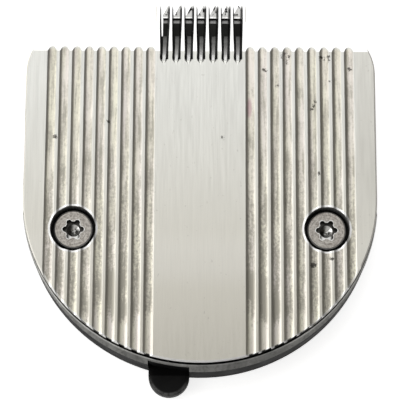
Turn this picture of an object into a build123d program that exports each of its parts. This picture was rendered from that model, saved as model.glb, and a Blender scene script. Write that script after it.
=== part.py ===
from build123d import *
import os

# Detachable hair clipper blade set: a fluted steel comb over a cutter that slides from side to side.
# X runs across the teeth, +Y points to the tooth tips and Z is up, out of the fluted face.
# The origin is under the middle of the set, on the back that meets the clipper.

# Comb plate
plate_width = 45.2
plate_thickness = 2.8
face_height = 6.5
round_centre = -1.0
round_depth = 21.24
shoulder_reach = 22.2
corner_radius = 6.6
edge_break = 0.2
bevel_length = 7.55

# Flutes on both sides of the smooth middle
smooth_width = 11.6
flute_pitch = 1.6
flute_width = 1.3
flute_depth = 0.25
flutes_per_side = 9

# Comb teeth, with slots that are wider at the crest than at the shear face
tooth_count = 8
tooth_pitch = 1.6
tongue_length = 3.8
tooth_tip_thickness = 0.4
slot_length = 9.3
slot_point_width = 0.1
slot_point_depth = 0.02
slot_nose_length = 0.55
slot_nose_depth = 0.15
slot_ramp_length = 4.2
slot_wheel_radius = 20.0
ramp_steps = 4
slot_foot_width = 0.41
slot_crest_width = 0.85
slot_flare = 0.35
tip_length = 0.7
tip_point = 0.15
tongue_root_radius = 0.8

# Blade screws and the threaded inserts that take them
screw_spacing = 32.3
screw_setback = 5.1
screw_diameter = 3.0
screw_length = 3.3
screw_hole_clearance = 0.1
head_diameter = 4.9
head_height = 1.2
head_sink = 0.85
head_edge = 0.15
socket_size = 2.75
socket_depth = 0.8
socket_lobe_diameter = 0.7
socket_cone_diameter = 1.7
socket_cone_depth = 0.55
counterbore_diameter = 5.8
insert_diameter = 4.4
insert_length = 2.8
insert_clearance = 0.02
thread_clearance = 0.02
bore_relief = 0.2

# Carrier body
rim_side = 0.12
rim_rear = 1.1
rim_gap = 0.04
rim_rear_gap = 0.24
rim_drop = 0.5
rim_bevel_width = 0.65
rim_bevel_drop = 0.3
rim_end = 1.5
rim_runout = 2.0
wall_thickness = 1.8
floor_thickness = 0.8
base_bevel = 0.4
carrier_setback = 2.2
carrier_corner_radius = 5.4
boss_diameter = 7.0
peg_diameter = 2.4
peg_height = 1.2
peg_clearance = 0.05
peg_spacing = 33.0
peg_advance = 11.0
peg_post_diameter = 4.6
drive_window_width = 17.0
drive_window_clearance = 3.0
window_corner_radius = 1.0
cutter_side_clearance = 1.0
catch_slot_width = 2.6
catch_slot_length = 6.0
catch_slot_spacing = 25.0
catch_slot_advance = 5.0

# Thumb tab at the rear
tab_offset = 3.85
tab_width = 5.2
tab_reach = 25.93
tab_rise = 0.4
tab_thickness = 2.1
tab_round = 0.6
lip_width = 0.3

# Cutter, shown a little to the right of its middle position
cutter_shift = 0.35
cutter_stroke = 2.2
oil_gap = 0.02
cutter_thickness = 1.3
cutter_tooth_count = 7
cutter_pitch = 1.55
cutter_width = 10.7
blade_gap = 0.2
cutter_notch_depth = 1.5
cutter_tip_thickness = 0.35
cutter_bevel_length = 1.4
land_length = 1.83
step_depth = 0.5
band_length = 0.68
tail_gap = 0.2

# Driver, which runs on the comb behind the cutter's tail and covers it, and the rivets that join them
driver_width = 15.0
driver_thickness = 1.5
driver_round = 0.6
neck_setback = 3.0
rear_land_length = 2.5
relief_depth = 0.1
tail_clearance = 0.05
fork_gap = 3.6
fork_width = 8.0
fork_length = 5.0
fork_slot_width = 3.2
fork_back_gap = 0.4
rivet_diameter = 1.4
rivet_head_diameter = 2.2
rivet_head_height = 0.2
rivet_spacing = 6.8
rivet_setback = 1.5
rivet_clearance = 0.03

# Spring glide and tension spring
glide_setback = 11.2
glide_round = 0.6
glide_length = 19.4
glide_width = 4.0
glide_thickness = 0.7
rail_width = 1.6
rail_height = 0.4
running_gap = 0.05
spring_thickness = 0.4
spring_arm_width = 2.4
spring_arm_spacing = 15.4
spring_arm_lead = 1.0
spring_base_length = 6.0
spring_rear = 9.6
spring_seat_height = 0.2
spring_pocket_depth = 0.2
stake_diameter = 2.2
stake_head_diameter = 3.6
stake_head_height = 0.7
stake_spacing = 9.0
stake_clearance = 0.03

# Places, heights and radii that follow from the sizes above
tooth_reach = shoulder_reach + tongue_length
bevel_start = tooth_reach - bevel_length
slot_start = tooth_reach - slot_length
carrier_front = shoulder_reach - carrier_setback
cutter_reach = tooth_reach - blade_gap
cutter_notch_root = cutter_reach - cutter_notch_depth
driver_neck = shoulder_reach - neck_setback
glide_advance = cutter_reach - glide_setback
tail_rear = glide_advance + glide_width / 2 + tail_gap
rivet_advance = tail_rear + rivet_setback
fork_front = glide_advance - glide_width / 2 - fork_gap
driver_rear = fork_front - fork_length
drive_window_front = fork_front + drive_window_clearance
shear_height = face_height - plate_thickness
plate_side = plate_width / 2
bevel_slope = (plate_thickness - tooth_tip_thickness) / bevel_length
tongue_width = tooth_count * tooth_pitch - slot_foot_width
slot_nose_end = slot_start + slot_nose_length
slot_ramp_end = slot_nose_end + slot_ramp_length
flute_radius = (flute_width**2 / 4 + flute_depth**2) / (2 * flute_depth)
slot_taper_start = tooth_reach - tip_length
screw_places = [(side * screw_spacing / 2, -screw_setback) for side in (-1, 1)]
peg_places = [(side * peg_spacing / 2, peg_advance) for side in (-1, 1)]
carrier_side = plate_side + rim_side
carrier_depth = round_depth + rim_rear
carrier_rear = carrier_depth - round_centre
rim_inner_side = plate_side + rim_gap
rim_inner_depth = round_depth + rim_rear_gap
rim_height = face_height - rim_drop
tab_height = tab_rise + tab_thickness
cutter_height = shear_height - oil_gap
cutter_base = cutter_height - cutter_thickness
cutter_land_rear = cutter_reach - land_length
cutter_band_rear = cutter_land_rear - band_length
tail_height = cutter_height - step_depth
deck_height = cutter_height - relief_depth
driver_base = cutter_height - driver_thickness
glide_height = driver_base - running_gap
glide_base = glide_height - glide_thickness
spring_seat = floor_thickness + spring_seat_height
spring_tip = glide_base + spring_pocket_depth - spring_thickness
spring_bend = spring_base_length - spring_rear
rivet_places = [(cutter_shift + side * rivet_spacing / 2, rivet_advance) for side in (-1, 1)]
stake_places = [(side * stake_spacing / 2, spring_base_length / 2 - spring_rear) for side in (-1, 1)]

# How far a cut runs on past the faces that it opens
margin = 1.0


def round_ended_outline(side, depth, front, corner):
    """A U outline: a half ellipse at the rear, straight sides and rounded front corners."""
    with BuildSketch() as outline:
        with BuildLine():
            EllipticalCenterArc((0, round_centre), side, depth, start_angle=180, arc_size=180)
            Polyline((side, round_centre), (side, front), (-side, front), (-side, round_centre))
        make_face()
        fillet(outline.vertices().group_by(Axis.Y)[-1], corner)
    return outline.sketch


def crest_height(y):
    """Height of the comb's upper side at a distance y ahead of the origin."""
    return face_height - max(0, y - bevel_start) * bevel_slope


def wheel_floor(y):
    """Height of a slot's ramp, an arc that the grinding wheel leaves from the nose to the shear face."""
    drop = plate_thickness - slot_nose_depth
    chord = (slot_ramp_length**2 + drop**2) ** 0.5
    rise = (slot_wheel_radius**2 - chord**2 / 4) ** 0.5 / chord
    wheel_y = slot_nose_end + slot_ramp_length / 2 + drop * rise
    wheel_z = shear_height + drop / 2 + slot_ramp_length * rise
    return wheel_z - (slot_wheel_radius**2 - (y - wheel_y) ** 2) ** 0.5


def slot_widening(y):
    """How much wider a slot is at y than at its nose; it opens fast at first and then ever less."""
    left = (slot_taper_start - y) / (slot_taper_start - slot_nose_end)
    return slot_flare * (1 - left**2)


def slot_section(y, floor, foot, crest):
    """Corners of a slot across y, from its floor to a little above the comb's upper side."""
    upper = crest_height(y)
    overrun = tooth_tip_thickness / 2
    high = crest / 2 + (crest - foot) / 2 * overrun / (upper - floor)
    return [(-foot / 2, floor), (foot / 2, floor), (high, upper + overrun), (-high, upper + overrun)]


def through_sections(start):
    """Sections of a slot from start to the tips, where it widens and brings the teeth to a point."""
    floor = shear_height - tooth_tip_thickness / 2
    sections = []
    for y, point in ((start, 0), (slot_taper_start, 0), (tooth_reach, tip_point)):
        widening = slot_widening(y) + point
        sections.append((y, floor, slot_foot_width + widening, slot_crest_width + widening))
    return sections


def ramp_sections():
    """Sections of a slot from the point where it leaves the face, over its nose and down its ramp."""
    sections = [(slot_start, face_height - slot_point_depth, slot_point_width, slot_point_width)]
    for step in range(ramp_steps + 1):
        y = slot_nose_end + slot_ramp_length * step / ramp_steps
        widening = slot_widening(y)
        sections.append((y, wheel_floor(y), slot_foot_width + widening, slot_crest_width + widening))
    return sections


def slot_solid(sections):
    """The space between two comb teeth, lofted through its sections."""
    with BuildPart() as slot:
        for y, floor, foot, crest in sections:
            with BuildSketch(Plane.XZ.offset(-y)):
                Polygon(*slot_section(y, floor, foot, crest), align=None)
        loft(ruled=True)
    return slot.part


plate_outline = round_ended_outline(plate_side, round_depth, shoulder_reach, corner_radius)
carrier_outline = round_ended_outline(carrier_side, carrier_depth, carrier_front, carrier_corner_radius)
cavity_outline = round_ended_outline(
    carrier_side - wall_thickness,
    carrier_depth - wall_thickness,
    carrier_front - wall_thickness,
    carrier_corner_radius - wall_thickness,
)

# Slots between the comb teeth, with a ground ramp at their root, and the outer sides of the row
tooth_slot = slot_solid(ramp_sections() + through_sections(slot_ramp_end + margin))
outer_flank = slot_solid(through_sections(shoulder_reach + tongue_root_radius))
slot_columns = [(i - tooth_count / 2) * tooth_pitch for i in range(tooth_count + 1)]

# Comb: hardened steel plate, fluted on the skin side, with the fixed teeth on a narrow tongue
with BuildPart() as comb_blade:
    with BuildSketch(Plane.XY.offset(shear_height)) as comb_outline:
        add(plate_outline)
        with Locations((0, tooth_reach / 2)):
            Rectangle(tongue_width, tooth_reach)
        front_corners = comb_outline.vertices().group_by(Axis.Y)[-2]
        fillet(front_corners.filter_by_position(Axis.X, -tongue_width, tongue_width), tongue_root_radius)
    extrude(amount=plate_thickness)
    chamfer(comb_blade.faces().sort_by(Axis.Z)[-1].edges(), edge_break)
    with BuildSketch(Plane.YZ):
        with BuildLine():
            Polyline(
                (bevel_start, face_height),
                (tooth_reach + margin, crest_height(tooth_reach + margin)),
                (tooth_reach + margin, face_height + margin),
                (bevel_start, face_height + margin),
                close=True,
            )
        make_face()
    extrude(amount=plate_width, both=True, mode=Mode.SUBTRACT)
    with BuildSketch(Plane.XZ):
        for side in (-1, 1):
            for i in range(flutes_per_side):
                flute_x = side * ((smooth_width + flute_width) / 2 + i * flute_pitch)
                with Locations((flute_x, face_height + flute_radius - flute_depth)):
                    Circle(flute_radius)
    extrude(amount=plate_width, both=True, mode=Mode.SUBTRACT)
    with Locations(*[(x, 0, 0) for x in slot_columns[1:-1]]):
        add(tooth_slot, mode=Mode.SUBTRACT)
    with Locations((slot_columns[0], 0, 0), (slot_columns[-1], 0, 0)):
        add(outer_flank, mode=Mode.SUBTRACT)
    with Locations(*[(x, y, face_height) for x, y in screw_places]):
        CounterBoreHole(
            radius=screw_diameter / 2 + screw_hole_clearance,
            counter_bore_radius=counterbore_diameter / 2,
            counter_bore_depth=head_sink + head_height,
        )
    with BuildSketch(Plane.XY.offset(shear_height)):
        with Locations(*peg_places):
            Circle(peg_diameter / 2 + peg_clearance)
    extrude(amount=peg_height + peg_clearance, mode=Mode.SUBTRACT)

# Cutter: small steel blade with pointed teeth, a front land and a thinner tail behind its step
with BuildSketch() as cutter_teeth:
    for i in range(cutter_tooth_count):
        with Locations(((i - (cutter_tooth_count - 1) / 2) * cutter_pitch, cutter_notch_root)):
            Polygon(
                (-cutter_pitch / 2, 0),
                (cutter_pitch / 2, 0),
                (0, cutter_notch_depth),
                align=None,
            )
    with Locations((0, cutter_reach)):
        Rectangle(cutter_width, cutter_reach, mode=Mode.INTERSECT)

with BuildPart() as cutter_blade:
    with BuildSketch(Plane.XY.offset(cutter_base)):
        with Locations((cutter_shift, 0)):
            add(cutter_teeth.sketch)
        with Locations((cutter_shift, (tail_rear + cutter_notch_root) / 2)):
            Rectangle(cutter_width, cutter_notch_root - tail_rear)
    extrude(amount=cutter_thickness)
    with BuildSketch(Plane.YZ):
        with BuildLine():
            Polyline(
                (cutter_reach - cutter_bevel_length, cutter_base),
                (cutter_reach, cutter_height - cutter_tip_thickness),
                (cutter_reach, cutter_base - margin),
                (cutter_reach - cutter_bevel_length, cutter_base - margin),
                close=True,
            )
        make_face()
    extrude(amount=plate_width, both=True, mode=Mode.SUBTRACT)
    with BuildSketch(Plane.XY.offset(cutter_height)):
        with Locations((cutter_shift, (tail_rear + cutter_land_rear) / 2)):
            Rectangle(cutter_width, cutter_land_rear - tail_rear)
    extrude(amount=-step_depth, mode=Mode.SUBTRACT)
    with Locations(*[(x, y, tail_height) for x, y in rivet_places]):
        Hole(rivet_diameter / 2 + rivet_clearance)

# Driver: moulded block with a deck over the cutter's tail and a fork for the clipper's eccentric pin
with BuildPart() as cutter_driver:
    with BuildSketch(Plane.XY.offset(driver_base)):
        with Locations((cutter_shift, (driver_rear + driver_neck) / 2)):
            RectangleRounded(driver_width, driver_neck - driver_rear, driver_round)
    extrude(amount=driver_thickness)
    with BuildSketch(Plane.XY.offset(tail_height)):
        with Locations((cutter_shift, (tail_rear + cutter_band_rear) / 2)):
            Rectangle(cutter_width, cutter_band_rear - tail_rear)
    extrude(amount=cutter_height - tail_height)
    with BuildSketch(Plane.XY.offset(cutter_height)):
        with Locations((cutter_shift, (driver_rear + rear_land_length + cutter_band_rear) / 2)):
            Rectangle(driver_width, cutter_band_rear - driver_rear - rear_land_length)
    extrude(amount=-relief_depth, mode=Mode.SUBTRACT)
    with BuildSketch(Plane.XY.offset(driver_base)):
        with Locations((cutter_shift, (tail_rear - tail_clearance + driver_neck) / 2)):
            Rectangle(cutter_width + 2 * tail_clearance, driver_neck - tail_rear + tail_clearance)
    extrude(amount=tail_height - driver_base, mode=Mode.SUBTRACT)
    with BuildSketch(Plane.XY.offset(driver_base)):
        with Locations((cutter_shift, glide_advance)):
            Rectangle(driver_width, rail_width + 2 * running_gap)
    extrude(amount=rail_height, mode=Mode.SUBTRACT)
    with BuildSketch(Plane.XY.offset(fork_back_gap)):
        with Locations((cutter_shift, driver_rear + fork_length / 2)):
            RectangleRounded(fork_width, fork_length, driver_round)
            Rectangle(fork_slot_width, fork_length, mode=Mode.SUBTRACT)
    extrude(amount=driver_base - fork_back_gap)
    with Locations(*[(x, y, deck_height) for x, y in rivet_places]):
        CounterBoreHole(
            radius=rivet_diameter / 2 + rivet_clearance,
            counter_bore_radius=rivet_head_diameter / 2 + rivet_clearance,
            counter_bore_depth=rivet_head_height,
        )

# Rivets: sunk flush in the driver's deck and headed under the cutter's tail
with BuildPart() as driver_rivets:
    with BuildSketch(Plane.XY.offset(deck_height - rivet_head_height)):
        with Locations(*rivet_places):
            Circle(rivet_head_diameter / 2)
    extrude(amount=rivet_head_height)
    with BuildSketch(Plane.XY.offset(cutter_base)):
        with Locations(*rivet_places):
            Circle(rivet_diameter / 2)
    extrude(amount=deck_height - cutter_base)
    with BuildSketch(Plane.XY.offset(cutter_base - rivet_head_height)):
        with Locations(*rivet_places):
            Circle(rivet_head_diameter / 2)
    extrude(amount=rivet_head_height)

# Glide: slippery bar on the spring arms, with a rail that guides the driver sideways
arm_places = [(side * spring_arm_spacing / 2, glide_advance) for side in (-1, 1)]
with BuildPart() as spring_glide:
    with BuildSketch(Plane.XY.offset(glide_base)):
        with Locations((0, glide_advance)):
            RectangleRounded(glide_length, glide_width, glide_round)
    extrude(amount=glide_thickness)
    with BuildSketch(Plane.XY.offset(glide_height)):
        with Locations((0, glide_advance)):
            Rectangle(glide_length - 2 * glide_round, rail_width)
    extrude(amount=rail_height)
    with BuildSketch(Plane.XY.offset(glide_base)):
        with Locations(*arm_places):
            Rectangle(spring_arm_width + 2 * running_gap, glide_width)
    extrude(amount=spring_pocket_depth, mode=Mode.SUBTRACT)

# Tension spring: one sheet of spring steel, staked at the rear, with two arms under the glide
arm_root = glide_advance - glide_width / 2 - spring_arm_lead
arm_tip = glide_advance + glide_width / 2
spring_width = spring_arm_spacing + spring_arm_width
with BuildPart() as tension_spring:
    with BuildSketch(Plane.YZ):
        with BuildLine():
            Polyline(
                (-spring_rear, spring_seat),
                (spring_bend, spring_seat),
                (arm_root, spring_tip),
                (arm_tip, spring_tip),
                (arm_tip, spring_tip + spring_thickness),
                (arm_root, spring_tip + spring_thickness),
                (spring_bend, spring_seat + spring_thickness),
                (-spring_rear, spring_seat + spring_thickness),
                close=True,
            )
        make_face()
    extrude(amount=spring_width / 2, both=True)
    with BuildSketch():
        with Locations((0, (spring_bend + arm_tip) / 2)):
            Rectangle(spring_arm_spacing - spring_arm_width, arm_tip - spring_bend)
        with Locations(*stake_places):
            Circle(stake_diameter / 2 + stake_clearance)
    extrude(amount=face_height, mode=Mode.SUBTRACT)

# Thumb tab: round-ended tongue low on the carrier's rear wall
with BuildPart() as thumb_tab:
    with BuildSketch(Plane.XY.offset(tab_rise)):
        tab_root = carrier_rear - wall_thickness / 2
        tab_round_centre = tab_reach - tab_width / 2
        with Locations((-tab_offset, -tab_round_centre)):
            Circle(tab_width / 2)
        with Locations((-tab_offset, -(tab_root + tab_round_centre) / 2)):
            Rectangle(tab_width, tab_round_centre - tab_root)
    extrude(amount=tab_thickness)
    fillet(thumb_tab.faces().sort_by(Axis.Z)[-1].edges(), tab_round)

# Carrier: black moulded tray that seats the comb, with a raised rim behind it and the thumb tab
with BuildPart() as carrier:
    with BuildSketch():
        add(carrier_outline)
    extrude(amount=shear_height)
    chamfer(carrier.faces().sort_by(Axis.Z)[0].edges(), base_bevel)
    with BuildSketch(Plane.XY.offset(floor_thickness)):
        add(cavity_outline)
        front_gap = driver_width + cutter_stroke + 2 * cutter_side_clearance
        with Locations((0, carrier_front - wall_thickness)):
            Rectangle(front_gap, 2 * wall_thickness)
    extrude(amount=shear_height - floor_thickness, mode=Mode.SUBTRACT)
    with BuildSketch(Plane.XY.offset(shear_height)):
        add(carrier_outline)
        with Locations((0, round_centre)):
            Ellipse(rim_inner_side, rim_inner_depth, mode=Mode.SUBTRACT)
        with Locations((0, -rim_end - carrier_rear / 2)):
            Rectangle(2 * carrier_side, carrier_rear, mode=Mode.INTERSECT)
    extrude(amount=rim_height - shear_height)
    rim_top = carrier.faces().sort_by(Axis.Z)[-1]
    rim_edge = rim_top.edges().filter_by(GeomType.ELLIPSE).sort_by(Axis.Y)[0]
    chamfer(rim_edge, rim_bevel_width, rim_bevel_drop, reference=rim_top)
    with BuildSketch(Plane.YZ):
        with BuildLine():
            Polyline(
                (-rim_end, shear_height),
                (-rim_end - rim_runout, rim_height),
                (-rim_end - rim_runout, rim_height + margin),
                (-rim_end, rim_height + margin),
                close=True,
            )
        make_face()
    extrude(amount=plate_width, both=True, mode=Mode.SUBTRACT)
    with BuildSketch(Plane.XY.offset(tab_height)):
        with Locations((-tab_offset, -carrier_rear)):
            Rectangle(tab_width, 2 * wall_thickness)
        with Locations((0, round_centre)):
            Ellipse(rim_inner_side + lip_width, rim_inner_depth + lip_width, mode=Mode.SUBTRACT)
    extrude(amount=face_height - tab_height, mode=Mode.SUBTRACT)
    add(thumb_tab.part)
    with BuildSketch():
        with Locations(*screw_places):
            Circle(boss_diameter / 2)
        with Locations(*peg_places):
            Circle(peg_post_diameter / 2)
    extrude(amount=shear_height)
    with BuildSketch(Plane.XY.offset(shear_height)):
        with Locations(*peg_places):
            Circle(peg_diameter / 2)
    extrude(amount=peg_height)
    with BuildSketch(Plane.XY.offset(shear_height)):
        with Locations(*screw_places):
            Circle(insert_diameter / 2 + insert_clearance)
    extrude(amount=-(insert_length + bore_relief), mode=Mode.SUBTRACT)
    with BuildSketch():
        with Locations((0, (drive_window_front + spring_bend) / 2)):
            RectangleRounded(drive_window_width, drive_window_front - spring_bend, window_corner_radius)
        with Locations(*[(side * catch_slot_spacing / 2, catch_slot_advance) for side in (-1, 1)]):
            SlotOverall(catch_slot_length, catch_slot_width, rotation=90)
    extrude(amount=floor_thickness, mode=Mode.SUBTRACT)
    with BuildSketch(Plane.XY.offset(floor_thickness)):
        with Locations((0, spring_base_length / 2 - spring_rear)):
            Rectangle(spring_width, spring_base_length)
    extrude(amount=spring_seat_height)
    with BuildSketch(Plane.XY.offset(spring_seat)):
        with Locations(*stake_places):
            Circle(stake_diameter / 2)
    extrude(amount=spring_thickness)
    with BuildSketch(Plane.XY.offset(spring_seat + spring_thickness)):
        with Locations(*stake_places):
            Circle(stake_head_diameter / 2)
    extrude(amount=stake_head_height)

# Threaded inserts: brass sleeves in the two bosses, flush with the comb's seat
with BuildPart() as screw_inserts:
    with BuildSketch(Plane.XY.offset(shear_height)):
        with Locations(*screw_places):
            Circle(insert_diameter / 2)
            Circle(screw_diameter / 2 + thread_clearance, mode=Mode.SUBTRACT)
    extrude(amount=-insert_length)

# Blade screws: low heads with a punched six-lobe socket, sunk in the comb's counterbores
head_top = face_height - head_sink
with BuildPart() as blade_screws:
    with BuildSketch(Plane.XY.offset(head_top - head_height)):
        with Locations(*screw_places):
            Circle(head_diameter / 2)
    extrude(amount=head_height)
    chamfer(blade_screws.edges().group_by(Axis.Z)[-1], head_edge)
    with BuildSketch(Plane.XY.offset(head_top - head_height)):
        with Locations(*screw_places):
            Circle(screw_diameter / 2)
    extrude(amount=-screw_length)
    with BuildSketch(Plane.XY.offset(head_top)):
        with Locations(*screw_places):
            Circle(socket_size / 2 - socket_lobe_diameter / 2)
            with PolarLocations((socket_size - socket_lobe_diameter) / 2, 6):
                Circle(socket_lobe_diameter / 2)
    extrude(amount=-socket_depth, mode=Mode.SUBTRACT)
    with Locations(*[(x, y, head_top - socket_depth) for x, y in screw_places]):
        Cone(
            bottom_radius=0,
            top_radius=socket_cone_diameter / 2,
            height=socket_cone_depth,
            align=(Align.CENTER, Align.CENTER, Align.MAX),
            mode=Mode.SUBTRACT,
        )

pieces = {
    "comb_blade": comb_blade,
    "cutter_blade": cutter_blade,
    "cutter_driver": cutter_driver,
    "driver_rivets": driver_rivets,
    "spring_glide": spring_glide,
    "tension_spring": tension_spring,
    "carrier": carrier,
    "screw_inserts": screw_inserts,
    "blade_screws": blade_screws,
}
os.makedirs("parts", exist_ok=True)
for name, piece in pieces.items():
    piece.part.label = name
    export_step(piece.part, f"parts/{name}.step")
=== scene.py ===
import bpy
import math
from mathutils import Matrix, Vector


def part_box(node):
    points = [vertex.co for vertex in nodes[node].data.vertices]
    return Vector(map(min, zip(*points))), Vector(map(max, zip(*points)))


# Detachable hair clipper blade set, lying on its back with the fluted face up.
# The finishes work in millimetres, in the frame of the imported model.
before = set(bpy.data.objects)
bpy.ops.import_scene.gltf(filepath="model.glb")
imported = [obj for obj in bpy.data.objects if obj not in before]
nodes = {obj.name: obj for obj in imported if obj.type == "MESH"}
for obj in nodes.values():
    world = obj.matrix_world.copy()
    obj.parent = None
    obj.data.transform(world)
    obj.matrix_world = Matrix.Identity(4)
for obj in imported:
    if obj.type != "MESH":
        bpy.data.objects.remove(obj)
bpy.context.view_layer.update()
mm = 0.001

# Carrier: the black tray that seats every other piece and latches to the clipper.
# It is one moulding of filled plastic with a fine matt skin. Its rim is paler than its walls, partly as
# dust and partly as painted light, with a painted highlight on its lip, and its tab's end carries a
# painted highlight.


def new_finish(name):
    """A material for one piece, with its node tree and its shader."""
    material = bpy.data.materials.new(name)
    material.use_nodes = True
    return material, material.node_tree, material.node_tree.nodes["Principled BSDF"]


def add_node(tree, kind, inputs=None, **settings):
    """One node; each input is a plain value or the output of another node."""
    node = tree.nodes.new(kind)
    for name, value in settings.items():
        setattr(node, name, value)
    for socket, value in (inputs or {}).items():
        if isinstance(value, bpy.types.NodeSocket):
            tree.links.new(value, node.inputs[socket])
        else:
            node.inputs[socket].default_value = value
    return node


def millimetres(tree):
    """Places on the piece in millimetres, which stay with it when it moves."""
    place = add_node(tree, "ShaderNodeTexCoord")
    scaling = {0: place.outputs["Object"], "Scale": 1 / mm}
    return add_node(tree, "ShaderNodeVectorMath", scaling, operation="SCALE").outputs[0]


def axes(tree, vector):
    """The three parts of a vector."""
    parts = add_node(tree, "ShaderNodeSeparateXYZ", {0: vector})
    return parts.outputs["X"], parts.outputs["Y"], parts.outputs["Z"]


def figure(tree, operation, *values):
    """One step of arithmetic on plain values or outputs."""
    return add_node(tree, "ShaderNodeMath", dict(enumerate(values)), operation=operation).outputs[0]


def chain(tree, operation, result, *others):
    """The same step of arithmetic taken over several values or outputs, one after the other."""
    for other in others:
        result = figure(tree, operation, result, other)
    return result


def where_all(tree, *masks):
    """A mask that is 1 only where every mask given is 1."""
    return chain(tree, "MULTIPLY", *masks)


def where_any(tree, *masks):
    """A mask that is 1 where at least one of the masks given is 1."""
    return chain(tree, "MAXIMUM", *masks)


def span(tree, value, start, end, at_start=0.0, at_end=1.0):
    """A smooth change from at_start to at_end as value goes, up or down, from start to end."""
    mapped = add_node(
        tree,
        "ShaderNodeMapRange",
        {"Value": value, "From Min": start, "From Max": end, "To Min": at_start, "To Max": at_end},
        interpolation_type="SMOOTHSTEP",
    )
    return mapped.outputs["Result"]


def noise(tree, places, per_mm, detail=3.0, roughness=0.55):
    """Noise with its own number of waves per millimetre along each axis."""
    stretched = add_node(tree, "ShaderNodeVectorMath", {0: places, 1: per_mm}, operation="MULTIPLY")
    grain = add_node(
        tree,
        "ShaderNodeTexNoise",
        {"Vector": stretched.outputs[0], "Scale": 1.0, "Detail": detail, "Roughness": roughness},
    )
    return grain.outputs["Fac"]


def across(tree, places, x, y):
    """Distance from an upright line at x and y."""
    flat = add_node(tree, "ShaderNodeVectorMath", {0: places, 1: (1, 1, 0)}, operation="MULTIPLY")
    line = add_node(tree, "ShaderNodeVectorMath", {0: flat.outputs[0], 1: (x, y, 0)}, operation="DISTANCE")
    return line.outputs["Value"]


def ellipse(tree, x, y, middle, reach):
    """1 on an ellipse round its middle, with its reach along X and Y; less inside it, more outside."""
    squares = []
    for place, centre, half in zip((x, y), middle, reach):
        share = figure(tree, "DIVIDE", figure(tree, "SUBTRACT", place, centre), half)
        squares.append(figure(tree, "POWER", share, 2.0))
    return figure(tree, "ADD", *squares)


def blend_colour(tree, factor, first, second):
    """A colour between two colours, each plain or the output of another node."""
    mixed = add_node(tree, "ShaderNodeMix", {0: factor, 6: first, 7: second}, data_type="RGBA")
    return mixed.outputs[2]


def roughen(tree, shader, height, depth):
    """Fine relief on the shader, depth in millimetres from the lowest to the highest point."""
    relief = add_node(tree, "ShaderNodeBump", {"Height": height, "Strength": 1.0, "Distance": depth * mm})
    tree.links.new(relief.outputs["Normal"], shader.inputs["Normal"])


def dress(node_name, material):
    """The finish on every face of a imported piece."""
    mesh = nodes[node_name].data
    mesh.materials.clear()
    mesh.materials.append(material)


def moulded_skin(tree, shader, places, colour):
    """The fine matt skin of black moulded plastic, over the colour given."""
    grain = noise(tree, places, (9.0, 9.0, 9.0))
    patches = noise(tree, places, (0.35, 0.35, 0.35))
    pure_black = (0.0, 0.0, 0.0, 1)
    mottled = blend_colour(tree, span(tree, patches, 0.3, 0.7, at_end=0.3), colour, pure_black)
    gloss = span(tree, patches, 0.3, 0.75, at_start=0.55, at_end=0.42)
    tree.links.new(mottled, shader.inputs["Base Color"])
    tree.links.new(gloss, shader.inputs["Roughness"])
    shader.inputs["Specular IOR Level"].default_value = 0.01
    roughen(tree, shader, grain, 0.006)


# The plate's outline, which the rim follows at a small gap: half an ellipse behind round_middle.
plate_low, plate_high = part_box("comb_blade")
plate_side = plate_high.x / mm
round_middle = -1.0
round_depth = round_middle - plate_low.y / mm

# Sizes of the rim and the tab. A pair gives where a finish begins and where it is full. A band is such
# a pair on the scale of an ellipse, on which the ellipse itself is 1.
carrier_low, carrier_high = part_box("carrier")
rim_top = carrier_high.z / mm
rim_gap = 0.04
rim_rear_gap = 0.24
rim_reach = (plate_side + rim_gap, round_depth + rim_rear_gap)
dust_and_light_heights = (rim_top - 0.38, rim_top - 0.3)
lighter_sides = (6.0, 19.0)
lip_band = (1.02, 1.005)
left_lip_sides = (-4.5, -7.0)
tab_x = -3.85
tab_half = 2.6
tab_end = carrier_low.y / mm
tab_root = -23.4
tab_rows = (tab_root + 0.1, tab_root)
end_highlight_rows = (tab_root, tab_end + 0.8)
end_highlight_border = (tab_half - 0.5, tab_half - 0.25)
wall_black = (0.008, 0.008, 0.008, 1)
rim_rear_grey = (0.3, 0.3, 0.29, 1)
rim_side_grey = (0.42, 0.42, 0.405, 1)
rim_dark = (0.13, 0.13, 0.125, 1)
lip_highlight_grey = (0.8, 0.8, 0.78, 1)
tab_black = (0.022, 0.022, 0.022, 1)
tab_end_highlight = (0.16, 0.16, 0.16, 1)

carrier_black, tree, shader = new_finish("carrier_black")
places = millimetres(tree)
x, y, z = axes(tree, places)

# Dust on the rim, worn through in spots, with painted light on its top and sides and a painted lip
# highlight.
# Partly dust and partly painted light: the rim top is paler than the walls, and paler still to the sides.
to_side = span(tree, figure(tree, "ABSOLUTE", x), *lighter_sides)
dust_and_light = blend_colour(tree, to_side, rim_rear_grey, rim_side_grey)
bare = span(tree, noise(tree, places, (2.5, 2.5, 2.5)), 0.4, 0.75, at_end=0.6)
dust_and_light = blend_colour(tree, bare, dust_and_light, rim_dark)
# Painted highlight along the rim's inner lip, at the sides and towards the left.
outwards = ellipse(tree, x, y, (0.0, round_middle), rim_reach)
side_share = span(tree, to_side, 0.0, 0.7, at_start=0.2)
left_share = span(tree, x, *left_lip_sides, at_end=0.75)
lip_share = where_any(tree, side_share, left_share)
on_lip_highlight = where_all(tree, span(tree, outwards, *lip_band), lip_share)
dust_and_light = blend_colour(tree, on_lip_highlight, dust_and_light, lip_highlight_grey)
colour = blend_colour(tree, span(tree, z, *dust_and_light_heights), wall_black, dust_and_light)

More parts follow.
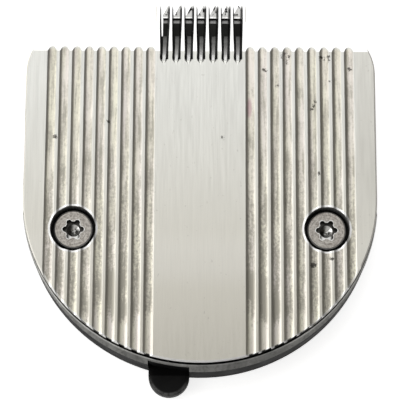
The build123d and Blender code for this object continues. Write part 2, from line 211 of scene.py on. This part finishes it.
# The tab, with a painted highlight along its round end, broken up by noise.
on_tab = span(tree, y, *tab_rows)
colour = blend_colour(tree, on_tab, colour, tab_black)
from_tab = across(tree, places, tab_x, tab_end + tab_half)
highlight_breakup = span(tree, noise(tree, places, (1.6, 1.6, 1.6)), 0.35, 0.6, at_start=0.35)
border = span(tree, from_tab, *end_highlight_border, at_end=highlight_breakup)
end_highlight = where_all(tree, border, span(tree, y, *end_highlight_rows, at_start=0.1), on_tab)
colour = blend_colour(tree, end_highlight, colour, tab_end_highlight)

moulded_skin(tree, shader, places, colour)
dress("carrier", carrier_black)

# Screw inserts: two turned brass sleeves, pressed into the carrier's bosses.
# Only their bores and end rings can be reached, once the screws are out.


def turned_metal(name, bright, dull, roughness):
    """Metal with fine tool marks and a dull film in patches."""
    material, tree, shader = new_finish(name)
    places = millimetres(tree)
    marks = noise(tree, places, (3.0, 3.0, 14.0))
    film = noise(tree, places, (0.8, 0.8, 0.8))
    gloss = span(tree, marks, 0.3, 0.7, at_start=roughness, at_end=roughness + 0.15)
    tree.links.new(blend_colour(tree, film, bright, dull), shader.inputs["Base Color"])
    tree.links.new(gloss, shader.inputs["Roughness"])
    shader.inputs["Metallic"].default_value = 1.0
    roughen(tree, shader, marks, 0.003)
    return material


brass_bright = (0.72, 0.53, 0.22, 1)
brass_dull = (0.5, 0.36, 0.15, 1)
dress("screw_inserts", turned_metal("insert_brass", brass_bright, brass_dull, roughness=0.28))

# Tension spring: one sheet of tempered spring steel, staked to the carrier's floor.
# Its two bent arms press the glide and the cutter up against the comb.
spring_bright = (0.42, 0.43, 0.46, 1)
spring_dull = (0.3, 0.3, 0.32, 1)
dress("tension_spring", turned_metal("spring_blue", spring_bright, spring_dull, roughness=0.3))

# Spring glide: a bar of natural nylon that lies loose on the spring's arms.
# Its rail keeps the driver straight as it runs from side to side.


def natural_nylon(name, clean, stained):
    """Waxy off-white plastic, a little stained by oil."""
    material, tree, shader = new_finish(name)
    places = millimetres(tree)
    stains = noise(tree, places, (0.6, 0.6, 0.6))
    gloss = span(tree, stains, 0.3, 0.7, at_start=0.35, at_end=0.5)
    tree.links.new(blend_colour(tree, stains, clean, stained), shader.inputs["Base Color"])
    tree.links.new(gloss, shader.inputs["Roughness"])
    roughen(tree, shader, noise(tree, places, (6.0, 6.0, 6.0)), 0.004)
    return material


nylon_clean = (0.8, 0.78, 0.7, 1)
nylon_stained = (0.66, 0.6, 0.46, 1)
dress("spring_glide", natural_nylon("glide_nylon", nylon_clean, nylon_stained))

# Driver: the moulded block under the cutter, with the fork that takes the clipper's pin.
# It is black plastic like the carrier's, with a film of oil, and two rivets hold it to the cutter.
driver_oiled = (0.06, 0.06, 0.057, 1)
driver_black, tree, shader = new_finish("driver_black")
moulded_skin(tree, shader, millimetres(tree), driver_oiled)
dress("cutter_driver", driver_black)

# Driver rivets: two plain steel rivets that hold the driver to the cutter.
# They are headed cold, and show only from the back once the set is apart.
rivet_bright = (0.6, 0.6, 0.6, 1)
rivet_dull = (0.45, 0.45, 0.45, 1)
dress("driver_rivets", turned_metal("rivet_steel", rivet_bright, rivet_dull, roughness=0.3))

# Cutter: the sliding blade, stamped from thin hard steel and ground flat on top.
# Its pointed teeth, the land behind them with a painted highlight on its rear edge, and the band beyond
# the step, darker as oil and as painted shade, show in the comb's slots. The step is painted black as
# shade; clippings lie on the teeth.


def where_not(tree, mask):
    """The opposite of a mask."""
    return figure(tree, "SUBTRACT", 1.0, mask)


def facing(tree):
    """The direction that the surface faces, in three parts."""
    surface = add_node(tree, "ShaderNodeNewGeometry")
    return axes(tree, surface.outputs["Normal"])


def ground_steel(tree, shader, places, colour, per_mm, roughness, wear, relief):
    """Fine parallel scratches on the steel's shader; gives back its colour with the scratches in it."""
    scratches = noise(tree, places, per_mm, detail=5.0)
    gloss = span(tree, scratches, 0.3, 0.7, at_start=roughness - 0.04, at_end=roughness + 0.06)
    tree.links.new(gloss, shader.inputs["Roughness"])
    shader.inputs["Specular IOR Level"].default_value = 0.1
    roughen(tree, shader, scratches, relief)
    scratch_grey = (0.3, 0.29, 0.27, 1)
    return blend_colour(tree, span(tree, scratches, 0.3, 0.7, at_end=wear), colour, scratch_grey)


def soil_and_shade(tree, shader, colour, masks, covering):
    """The finished colour on the shader: steel, covered by dirt and by painted shade wherever a mask is 1.
    """
    covered = where_any(tree, *masks)
    tree.links.new(blend_colour(tree, covered, colour, covering), shader.inputs["Base Color"])
    tree.links.new(where_not(tree, covered), shader.inputs["Metallic"])


cutter_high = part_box("cutter_blade")[1]
cutter_top = cutter_high.z / mm
cutter_reach = cutter_high.y / mm
land_heights = (cutter_top - 0.3, cutter_top - 0.02)
land_highlight_heights = (cutter_top - 0.05, cutter_top)
land_highlight_rows = (cutter_reach - 1.64, cutter_reach - 1.7)
clipping_rows = (cutter_reach - 1.6, cutter_reach - 1.2)
land_grey = (0.56, 0.56, 0.55, 1)
land_highlight_white = (0.95, 0.95, 0.94, 1)
band_oil_and_shade_grey = (0.24, 0.24, 0.24, 1)
# Black for oil and clippings, and for painted shade in steps, recesses and between the teeth.
oil_and_shade_black = (0.012, 0.012, 0.012, 1)

cutter_steel, tree, shader = new_finish("cutter_steel")
places = millimetres(tree)
y, z = axes(tree, places)[1:]
face_y = facing(tree)[1]
# The band below the land is darker, partly as oil and partly as painted shade of the recess.
colour = blend_colour(tree, span(tree, z, *land_heights), band_oil_and_shade_grey, land_grey)
# Painted highlight along the rear edge of the land.
land_highlight = where_all(tree, span(tree, y, *land_highlight_rows), span(tree, z, *land_highlight_heights))
colour = blend_colour(tree, land_highlight, colour, land_highlight_white)
colour = ground_steel(
    tree, shader, places, colour, per_mm=(5.0, 0.5, 5.0), roughness=0.3, wear=0.25, relief=0.003
)
# Painted shade: the step wall, facing towards the round end, is painted black.
step = span(tree, face_y, -0.4, -0.7)
clumps = span(tree, noise(tree, places, (2.6, 1.3, 0.0)), 0.53, 0.58)
clippings = where_all(tree, clumps, span(tree, y, *clipping_rows))
soil_and_shade(tree, shader, colour, [step, clippings], oil_and_shade_black)
dress("cutter_blade", cutter_steel)

# Comb: the fixed blade, a hardened steel plate with flutes milled along its skin side, screwed to the
# carrier. It is ground lengthways. Use has left grime in the flutes, and nicks, small dark pits and faint
# stains all over it. Its counterbores and teeth carry painted shade, and its bevel, slots and edges
# painted highlights.
face_height = plate_high.z / mm
tooth_reach = plate_high.y / mm
bevel_length = 7.55
bevel_start = tooth_reach - bevel_length
bevel_slope = 0.318
edge_break = 0.2
edge_band = (0.985, 0.97)
straight_rows = (round_middle, round_middle + 1.0)
flute_start = 5.8
flute_pitch = 1.6
flute_sides = (flute_start - 0.05, flute_start)
flute_depths = (0.02, 0.16)
flute_bottom = (0.34, 0.28)
tooth_pitch = 1.6
tooth_sides = (5.55, 5.5)
tooth_rows = (17.33, 17.43)
teeth_shade_rows = (tooth_reach - 0.3, tooth_reach - 1.1)
slot_offset = 0.11
screws_low, screws_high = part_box("blade_screws")
head_radius = 2.45
screw_side = screws_high.x / mm - head_radius
screw_row = (screws_low.y + screws_high.y) / 2 / mm
bore_radius = 2.9
bore_wall = (bore_radius + 0.04, bore_radius - 0.02)
bore_depths = (0.02, 0.3)


def from_screw(tree, places):
    """Distance from the axis of the nearer blade screw."""
    left = across(tree, places, -screw_side, screw_row)
    right = across(tree, places, screw_side, screw_row)
    return figure(tree, "MINIMUM", left, right)


comb_steel, tree, shader = new_finish("comb_steel")
places = millimetres(tree)
x, y, z = axes(tree, places)
side = figure(tree, "ABSOLUTE", x)
face_x = facing(tree)[0]

# How far the surface lies below the face or the bevel, and what kind of hollow it is in.
past_bevel = figure(tree, "MAXIMUM", figure(tree, "SUBTRACT", y, bevel_start), 0.0)
crest = figure(tree, "SUBTRACT", face_height, figure(tree, "MULTIPLY", past_bevel, bevel_slope))
below = figure(tree, "SUBTRACT", crest, z)
outwards = ellipse(tree, x, y, (0.0, round_middle), (plate_side, round_depth))
off_edge = where_any(tree, span(tree, outwards, *edge_band), span(tree, y, *straight_rows))
along_edge = where_not(tree, off_edge)
fluted = where_all(tree, span(tree, side, *flute_sides), off_edge)
in_flute = where_all(tree, fluted, span(tree, below, *flute_depths), span(tree, below, *flute_bottom))
to_screw = from_screw(tree, places)
# Painted shade: the walls and floor of the counterbores are painted black.
counterbore_shade = where_all(tree, span(tree, to_screw, *bore_wall), span(tree, below, *bore_depths))
toothed = span(tree, side, *tooth_sides)
in_teeth = where_all(tree, toothed, span(tree, y, *tooth_rows))
from_slot = figure(tree, "PINGPONG", figure(tree, "SUBTRACT", x, slot_offset), tooth_pitch / 2)

# Clean steel with small dull specks, warmer and brighter to the rear, with a painted sheen in a band
# behind the screws and painted shade along the right margin.
front_steel = (0.705, 0.707, 0.672, 1)
rear_steel = (0.82, 0.795, 0.71, 1)
sheen_steel = (0.9, 0.885, 0.83, 1)
right_margin_shade = (0.6, 0.585, 0.535, 1)
speck_grey = (0.45, 0.43, 0.39, 1)
warm_rows = (17.0, -19.0)
sheen_row = -9.0
sheen_reach = (4.5, 1.0)
shade_sides = (19.4, 20.6)
shade_rows = (-6.0, 3.0)

base = blend_colour(tree, span(tree, y, *warm_rows), front_steel, rear_steel)
# Painted sheen: a brighter band across the middle.
from_sheen = figure(tree, "ABSOLUTE", figure(tree, "SUBTRACT", y, sheen_row))
base = blend_colour(tree, span(tree, from_sheen, *sheen_reach, at_end=0.4), base, sheen_steel)
# Painted shade along the right margin.
shaded_margin = where_all(tree, span(tree, x, *shade_sides, at_end=0.6), span(tree, y, *shade_rows))
base = blend_colour(tree, shaded_margin, base, right_margin_shade)
colour = ground_steel(
    tree, shader, places, base, per_mm=(7.0, 0.22, 7.0), roughness=0.32, wear=0.07, relief=0.0014
)
specks = noise(tree, places, (2.2, 1.6, 2.2), detail=2.0)
colour = blend_colour(tree, span(tree, specks, 0.68, 0.76, at_end=0.35), colour, speck_grey)

# Tints, streaks and grit in the flutes, which grow to the rear and thin out again at the round end.
# Darker smudges lie near that end, and the left wall of each flute is darker, partly as grit and partly as
# painted shade.
flute_cream = (0.79, 0.766, 0.636, 1)
flute_grey = (0.76, 0.712, 0.664, 1)
flute_grime = (0.4, 0.38, 0.325, 1)
corner_grit_and_shade = (0.55, 0.525, 0.455, 1)
grit_rows = (8.0, -8.0)
grime_rows = (14.0, -14.0)
rear_rows = (-14.5, -18.0)
smudges = [(-11.2, -12.6), (-9.8, -15.8), (6.8, -12.6), (8.6, -15.4)]
smudge_reach = (2.6, 0.3)

tint = noise(tree, places, (0.62, 0.05, 0.0), detail=2.0)
flute_colour = blend_colour(tree, span(tree, tint, 0.35, 0.65), flute_cream, flute_grey)
streaks = noise(tree, places, (2.4, 0.16, 0.0), detail=5.0, roughness=0.62)
grit = noise(tree, places, (3.2, 2.2, 0.0), detail=4.0, roughness=0.7)
blotches = noise(tree, places, (0.35, 0.22, 0.0), detail=2.0)
grit_weight = span(tree, y, *grit_rows, at_start=0.25, at_end=0.65)
layers = [
    figure(tree, "MULTIPLY", streaks, 0.6),
    figure(tree, "MULTIPLY", blotches, 0.35),
    figure(tree, "MULTIPLY", figure(tree, "SUBTRACT", grit, 0.5), grit_weight),
    span(tree, y, *grime_rows, at_start=0.04, at_end=0.09),
    span(tree, y, *rear_rows, at_end=-0.16),
]
for smudge_x, smudge_y in smudges:
    from_smudge = across(tree, places, smudge_x, smudge_y)
    layers.append(span(tree, from_smudge, *smudge_reach, at_end=0.26))
soiling = chain(tree, "ADD", *layers)
flute_colour = blend_colour(tree, span(tree, soiling, 0.42, 0.66), flute_colour, flute_grime)
colour = blend_colour(tree, in_flute, colour, flute_colour)
# Partly grit and partly painted shade on the left wall of each flute, which faces away from the left box.
grit_patches = span(tree, grit, 0.6, 0.3, at_start=0.55)
left_wall_grit_and_shade = where_all(tree, in_flute, span(tree, face_x, 0.22, 0.5), grit_patches)
colour = blend_colour(tree, left_wall_grit_and_shade, colour, corner_grit_and_shade)

# The bevel at the front, painted near white as a painted reflection, and the dull sawn walls of the plate.
highlight_white = (0.98, 0.98, 0.97, 1)
sawn_steel = (0.42, 0.415, 0.4, 1)
sawn_depths = (0.3, 0.4)
sawn_rows = (-2.0, 0.0)

# Painted reflection: the bevel is painted near white.
on_crest = where_not(tree, where_all(tree, span(tree, below, 0.005, 0.03), fluted))
on_bevel = where_all(tree, span(tree, past_bevel, 0.0, 0.15), on_crest)
colour = blend_colour(tree, on_bevel, colour, highlight_white)
outer_wall = where_all(tree, span(tree, below, *sawn_depths), where_not(tree, toothed))
sawn = where_all(tree, outer_wall, span(tree, y, *sawn_rows))
colour = blend_colour(tree, sawn, colour, sawn_steel)

# A rose stain beside the smooth middle.
rose_stain = (0.5, 0.34, 0.36, 1)
stain_middle = (6.3, 10.9)
stain_half = (1 / 3, 4 / 3)
stain_band = (1.6, 0.2)

from_stain = ellipse(tree, x, y, stain_middle, stain_half)
colour = blend_colour(tree, span(tree, from_stain, *stain_band, at_end=0.75), colour, rose_stain)

# Painted highlights round the edge of the counterbores and in the slots, and painted shade on the ramps,
# deeper downwards.
ramp_shade = (0.02, 0.02, 0.018, 1)
bore_edge = (bore_radius + 0.3, bore_radius + 0.2)
slot_half = (0.45, 0.3)
ramp_depths = (0.45, 2.2)

# Painted highlight round the edge of each counterbore.
colour = blend_colour(tree, span(tree, to_screw, *bore_edge), colour, highlight_white)
# Painted highlight in the slots.
in_slot = where_all(tree, in_teeth, span(tree, from_slot, *slot_half))
colour = blend_colour(tree, in_slot, colour, highlight_white)
# Painted shade on the ramps, darker with depth.
ramp = where_all(tree, in_teeth, span(tree, below, *ramp_depths))
colour = blend_colour(tree, ramp, colour, ramp_shade)

# A painted highlight along the edge break of the round end, and painted shade along that of the right
# side.
right_edge_shade = (0.3, 0.29, 0.27, 1)
break_highlight_depths = (edge_break + 0.06, edge_break)
break_highlight_rows = (-9.0, -14.0)
right_sides = (20.3, 20.5)

# Painted highlight along the edge break of the round end.
on_break = where_all(tree, along_edge, span(tree, below, *break_highlight_depths))
break_highlight = where_all(tree, on_break, span(tree, y, *break_highlight_rows))
colour = blend_colour(tree, break_highlight, colour, highlight_white)
# Painted shade on the edge break along the right side.
faces_right = span(tree, face_x, 0.25, 0.5, at_end=0.85)
right_edge_shaded = where_all(tree, faces_right, span(tree, x, *right_sides))
colour = blend_colour(tree, right_edge_shaded, colour, right_edge_shade)

# Ragged pits and nicks on the face, each with its place and radius.
pit_black = (0.05, 0.045, 0.04, 1)
pits = [
    (-18.63, 6.92, 0.3),
    (-11.84, 8.93, 0.26),
    (8.17, 16.07, 0.24),
    (8.45, 15.9, 0.2),
    (9.96, 13.9, 0.22),
    (11.5, 17.9, 0.22),
    (11.2, 17.0, 0.2),
    (14.85, 11.75, 0.18),
    (14.6, 11.2, 0.24),
    (14.4, 10.8, 0.2),
    (15.22, 2.15, 0.24),
    (15.72, 17.75, 0.24),
    (16.6, 17.8, 0.24),
    (16.65, 17.35, 0.18),
    (16.7, 14.44, 0.14),
    (19.32, 16.2, 0.24),
    (14.4, -9.72, 0.42),
    (16.69, -8.94, 0.26),
    (2.83, 6.92, 0.2),
]

# Patches of dark flecks at the front ends of two flutes, each with its place and radius.
crusts = [(11.0, 17.8, 0.75), (15.75, 17.6, 0.6)]

uneven = noise(tree, places, (4.5, 4.5, 4.5), detail=4.0, roughness=0.7)
ragged = figure(tree, "MULTIPLY", figure(tree, "SUBTRACT", uneven, 0.5), 1.1)
marks = []
for pit_x, pit_y, radius in pits:
    from_pit = figure(tree, "ADD", across(tree, places, pit_x, pit_y), ragged)
    marks.append(span(tree, from_pit, radius + 0.04, radius - 0.14, at_end=0.9))
crumbs = noise(tree, places, (3.4, 2.6, 3.4), detail=4.0, roughness=0.7)
flecks = span(tree, crumbs, 0.5, 0.6, at_end=0.85)
for crust_x, crust_y, radius in crusts:
    in_crust = span(tree, across(tree, places, crust_x, crust_y), radius, radius - 0.3)
    marks.append(where_all(tree, flecks, in_crust))
colour = blend_colour(tree, where_any(tree, *marks), colour, pit_black)

# Black painted shade on the flanks of the teeth and in a strip along each side of a slot, wider to the
# front.
flank_depths = (0.02, 0.1)
strip_inner = (0.24, 0.3)
strip_outer_rear = 0.49
strip_outer_front = 0.62
strip_rows = (18.0, 24.0)

# Painted shade, fading towards the tips of the teeth.
teeth_shade = where_all(tree, in_teeth, span(tree, y, *teeth_shade_rows, at_start=0.1))
upright = span(tree, figure(tree, "ABSOLUTE", face_x), 0.45, 0.7)
flank = where_all(tree, upright, span(tree, below, *flank_depths), teeth_shade)
strip_outer = span(tree, y, *strip_rows, at_start=strip_outer_rear, at_end=strip_outer_front)
past_strip = figure(tree, "SUBTRACT", from_slot, strip_outer)
strip = where_all(tree, span(tree, from_slot, *strip_inner), span(tree, past_strip, 0.03, -0.03), teeth_shade)

# Black painted shade on the wall of the round end, thinner at the left, and black in a lump at the end of
# each flute.
# A lump's phase is its place across the pitch of the flutes; those at the left are narrower.
wall_depths = (edge_break, edge_break + 0.04)
wall_sides = (15.0, 10.0)
wall_left = (-9.5, -6.5)
lump_phase = (0.15, 0.3)
narrow_phase = (0.75, 0.65)
lump_band = (0.982, 0.99)
lump_rows = (-8.0, -11.0)
lump_sides = (18.0, 12.0)

# Painted shade on the wall of the round end.
round_wall = where_all(tree, along_edge, span(tree, below, *wall_depths))
wall_share = where_all(tree, span(tree, side, *wall_sides), span(tree, x, *wall_left, at_start=0.25))
wall = where_all(tree, round_wall, wall_share)
past_flutes = figure(tree, "DIVIDE", figure(tree, "SUBTRACT", side, flute_start), flute_pitch)
phase = figure(tree, "FRACT", past_flutes)
lump = where_all(
    tree,
    span(tree, phase, *lump_phase),
    where_any(tree, span(tree, phase, *narrow_phase), span(tree, x, -0.1, 0.1)),
    span(tree, outwards, *lump_band),
    span(tree, side, flute_start, flute_start + 0.1),
    span(tree, y, *lump_rows),
    span(tree, side, *lump_sides, at_start=0.2),
)
soil_and_shade(tree, shader, colour, [counterbore_shade, flank, strip, wall, lump], oil_and_shade_black)
dress("comb_blade", comb_steel)

# Blade screws: two low-headed steel screws with a punched six-lobe socket, sunk in the counterbores.
# Their heads are browned and brushed by use, with a painted highlight on the edge, and sockets painted
# dark as shade.
screw_top = screws_high.z / mm
rounded_edge = (head_radius - 0.16, head_radius - 0.1)
socket_depth = 0.8
socket_depths = (0.16, 0.3)
floor_depths = (socket_depth - 0.02, socket_depth)
floor_rows = (screw_row - 0.3, screw_row - 0.8)
floor_sides = (0.75, 0.4)
cone_depths = (socket_depth + 0.02, socket_depth + 0.06)
cone_sides = (-0.4, 0.1)
burr_radius = 1.23
burr_wave = 0.2
burr_half = (0.11, 0.03)
burr_depths = (0.05, 0.02)
lobe_count = 6
head_brown = (0.26, 0.235, 0.21, 1)
head_worn = (0.62, 0.59, 0.545, 1)
head_edge_highlight = (0.85, 0.84, 0.82, 1)
socket_shade = (0.08, 0.077, 0.072, 1)
socket_highlight = (0.97, 0.97, 0.95, 1)

screw_steel, tree, shader = new_finish("screw_steel")
places = millimetres(tree)
x, y, z = axes(tree, places)
from_axis = from_screw(tree, places)
sunk = figure(tree, "SUBTRACT", screw_top, z)

# Brushed head with a painted highlight on its edge.
along_ring = figure(tree, "MULTIPLY", x, 0.3)
ring_places = add_node(tree, "ShaderNodeCombineXYZ", {0: from_axis, 1: along_ring, 2: y})
rings = noise(tree, ring_places.outputs[0], (9.0, 1.5, 1.5), detail=4.0)
rubs = noise(tree, places, (4.5, 4.5, 4.5))
brushing = figure(tree, "MULTIPLY", figure(tree, "ADD", rings, rubs), 0.5)
colour = blend_colour(tree, span(tree, brushing, 0.36, 0.62), head_brown, head_worn)
colour = blend_colour(tree, span(tree, from_axis, *rounded_edge), colour, head_edge_highlight)

# Socket painted dark as shade, with a painted highlight where a burr runs round its lobed outline.
# Painted shade in the socket.
colour = blend_colour(tree, span(tree, sunk, *socket_depths), colour, socket_shade)
beyond_axis = figure(tree, "SUBTRACT", figure(tree, "ABSOLUTE", x), screw_side)
right_of_axis = figure(tree, "MULTIPLY", beyond_axis, figure(tree, "SIGN", x))
turn = figure(tree, "ARCTAN2", figure(tree, "SUBTRACT", y, screw_row), right_of_axis)
lobes = figure(tree, "COSINE", figure(tree, "MULTIPLY", turn, lobe_count))
outline = figure(tree, "MULTIPLY_ADD", lobes, burr_wave, burr_radius)
off_outline = figure(tree, "ABSOLUTE", figure(tree, "SUBTRACT", from_axis, outline))
on_outline = span(tree, off_outline, *burr_half, at_end=0.8)
# Painted highlight along the lobed outline.
burr = where_all(tree, on_outline, span(tree, sunk, *burr_depths))
colour = blend_colour(tree, burr, colour, socket_highlight)

# Painted highlight on the near side of the socket's floor and on the right of the punched cone, painted
# shade on its left.
near_floor_highlight = where_all(tree, span(tree, sunk, *floor_depths), span(tree, y, *floor_rows))
between_lobes = span(tree, figure(tree, "ABSOLUTE", right_of_axis), *floor_sides, at_start=0.05)
colour = blend_colour(tree, where_all(tree, near_floor_highlight, between_lobes), colour, socket_highlight)
in_cone = span(tree, sunk, *cone_depths)
cone_highlight_and_shade = blend_colour(tree, span(tree, right_of_axis, *cone_sides), socket_shade, socket_highlight)
colour = blend_colour(tree, in_cone, colour, cone_highlight_and_shade)

ring_gloss = span(tree, rings, 0.3, 0.7, at_start=0.34, at_end=0.5)
cone_gloss = span(tree, in_cone, 0.0, 1.0, at_start=1.0, at_end=0.5)
tree.links.new(colour, shader.inputs["Base Color"])
tree.links.new(figure(tree, "MULTIPLY", ring_gloss, cone_gloss), shader.inputs["Roughness"])
shader.inputs["Metallic"].default_value = 1.0
roughen(tree, shader, rings, 0.004)
dress("blade_screws", screw_steel)

# Studio: a pale floor under the set and soft boxes above it.
# The largest box stands beyond the teeth, a second one lights the flutes from the left, and the
# right side of the room is dark.
room_white = (1.0, 0.985, 0.95, 1)
room_sides = (-0.7, 0.6)
glow_left = 0.45
glow_right = 0.17
floor_size = 3.0
floor_drop = 0.02 * mm
floor_white = (0.9, 0.9, 0.9, 1)
floor_glow = 0.75

studio = bpy.data.worlds.new("studio")
bpy.context.scene.world = studio
studio.use_nodes = True
tree = studio.node_tree
room = add_node(tree, "ShaderNodeTexCoord")
room_x = axes(tree, room.outputs["Generated"])[0]
glow = span(tree, room_x, *room_sides, at_start=glow_left, at_end=glow_right)
tree.links.new(glow, tree.nodes["Background"].inputs["Strength"])
tree.nodes["Background"].inputs["Color"].default_value = room_white

bpy.ops.mesh.primitive_plane_add(size=floor_size, location=(0, 0, -floor_drop))
floor = bpy.context.object
floor.name = "studio_floor"
pale_floor, tree, paper = new_finish("pale_floor")
paper.inputs["Base Color"].default_value = floor_white
paper.inputs["Roughness"].default_value = 0.8
paper.inputs["Specular IOR Level"].default_value = 0.0
ray = add_node(tree, "ShaderNodeLightPath")
seen_rays = ["Is Camera Ray", "Is Glossy Ray", "Is Transmission Ray"]
seen = where_any(tree, *[ray.outputs[kind] for kind in seen_rays])
backing = add_node(tree, "ShaderNodeEmission", {"Strength": figure(tree, "MULTIPLY", seen, floor_glow)})
lit = add_node(tree, "ShaderNodeAddShader", {0: paper.outputs["BSDF"], 1: backing.outputs["Emission"]})
tree.links.new(lit.outputs[0], tree.nodes["Material Output"].inputs["Surface"])
floor.data.materials.append(pale_floor)


def soft_box(name, lean, side, distance, width, depth, brightness):
    """An area lamp aimed at the set, lean degrees from overhead towards the side given."""
    lamp = bpy.data.lights.new(name, "AREA")
    lamp.shape = "RECTANGLE"
    lamp.size = width
    lamp.size_y = depth
    lamp.energy = brightness * math.pi * width * depth
    box = bpy.data.objects.new(name, lamp)
    bpy.context.scene.collection.objects.link(box)
    angle = math.radians(lean)
    away = Vector((math.sin(angle) * side[0], math.sin(angle) * side[1], math.cos(angle)))
    box.location = away * distance
    box.rotation_mode = "QUATERNION"
    box.rotation_quaternion = (-away).to_track_quat("-Z", "Y")


soft_box("back_box", lean=41, side=(0, 1), distance=0.7, width=0.8, depth=0.76, brightness=1.15)
soft_box("left_box", lean=58, side=(-1, 0), distance=0.6, width=0.5, depth=0.5, brightness=1.25)

# Camera: almost overhead, leaning a little towards the round end, as the set was photographed.
# Its focal length is given in pixels of the square picture.
camera_tilt = math.radians(13.5)
camera_roll = math.radians(0.27)
camera_distance = 231.0 * mm
camera_aim = Vector((0, -1.4 * mm, plate_high.z))
picture_focal = 1813.0
picture_side = 400.0

camera_data = bpy.data.cameras.new("camera")
camera = bpy.data.objects.new("camera", camera_data)
bpy.context.scene.collection.objects.link(camera)
camera_data.sensor_width = 36.0
camera_data.lens = camera_data.sensor_width * picture_focal / picture_side
camera_data.clip_start = 1 * mm
camera.matrix_world = (
    Matrix.Translation(camera_aim)
    @ Matrix.Rotation(camera_tilt, 4, "X")
    @ Matrix.Rotation(camera_roll, 4, "Z")
    @ Matrix.Translation((0, 0, camera_distance))
)
bpy.context.scene.camera = camera
bpy.context.scene.view_settings.view_transform = "Standard"
